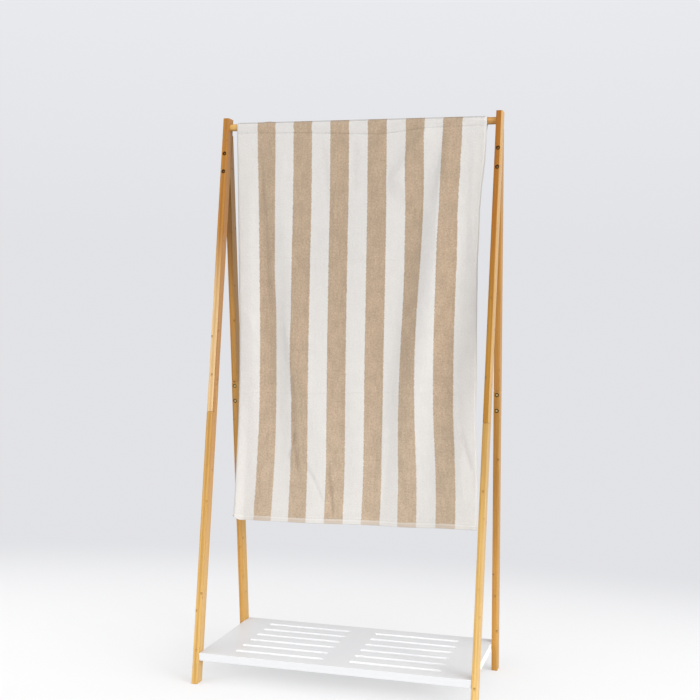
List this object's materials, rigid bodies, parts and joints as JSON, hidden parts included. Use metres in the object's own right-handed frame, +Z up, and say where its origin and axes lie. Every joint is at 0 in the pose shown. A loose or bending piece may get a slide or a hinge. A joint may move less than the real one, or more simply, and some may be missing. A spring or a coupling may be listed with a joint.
{
  "type": "beach towel on a clothes rack",
  "caption": "Striped beach towel draped over the rod of an A-frame bamboo clothes rack with a slatted white shelf near the floor.",
  "frame": {"origin": "on the floor, under the middle of the rod and midway between the front and rear feet", "axes": "+X along the rod, to the viewer's right in front of the rack; +Y from the front legs to the rear legs; +Z up"},
  "size_m": [0.816, 0.432, 1.62],
  "materials": {
    "terry": "looped cotton terry in off-white and beige stripes, matt",
    "bamboo": "laminated honey-coloured bamboo, satin lacquer",
    "white_paint": "white lacquer on board, satin",
    "bolt_steel": "zinc-plated steel, slightly worn"
  },
  "bodies": {
    "root": {"towel": "terry", "rod": "bamboo", "leg_front_left_lower": "bamboo", "leg_front_left_upper": "bamboo", "leg_front_right_lower": "bamboo", "leg_front_right_upper": "bamboo", "leg_rear_left_lower": "bamboo", "leg_rear_left_upper": "bamboo", "leg_rear_right_lower": "bamboo", "leg_rear_right_upper": "bamboo", "shelf": "white_paint", "bolt_apex_left_low": "bolt_steel", "bolt_apex_left_high": "bolt_steel", "bolt_apex_right_low": "bolt_steel", "bolt_apex_right_high": "bolt_steel", "bolt_lap_front_left_low": "bolt_steel", "bolt_lap_front_left_high": "bolt_steel", "bolt_lap_front_right_low": "bolt_steel", "bolt_lap_front_right_high": "bolt_steel", "bolt_lap_rear_left_low": "bolt_steel", "bolt_lap_rear_left_high": "bolt_steel", "bolt_lap_rear_right_low": "bolt_steel", "bolt_lap_rear_right_high": "bolt_steel"}
  },
  "joints": []
}
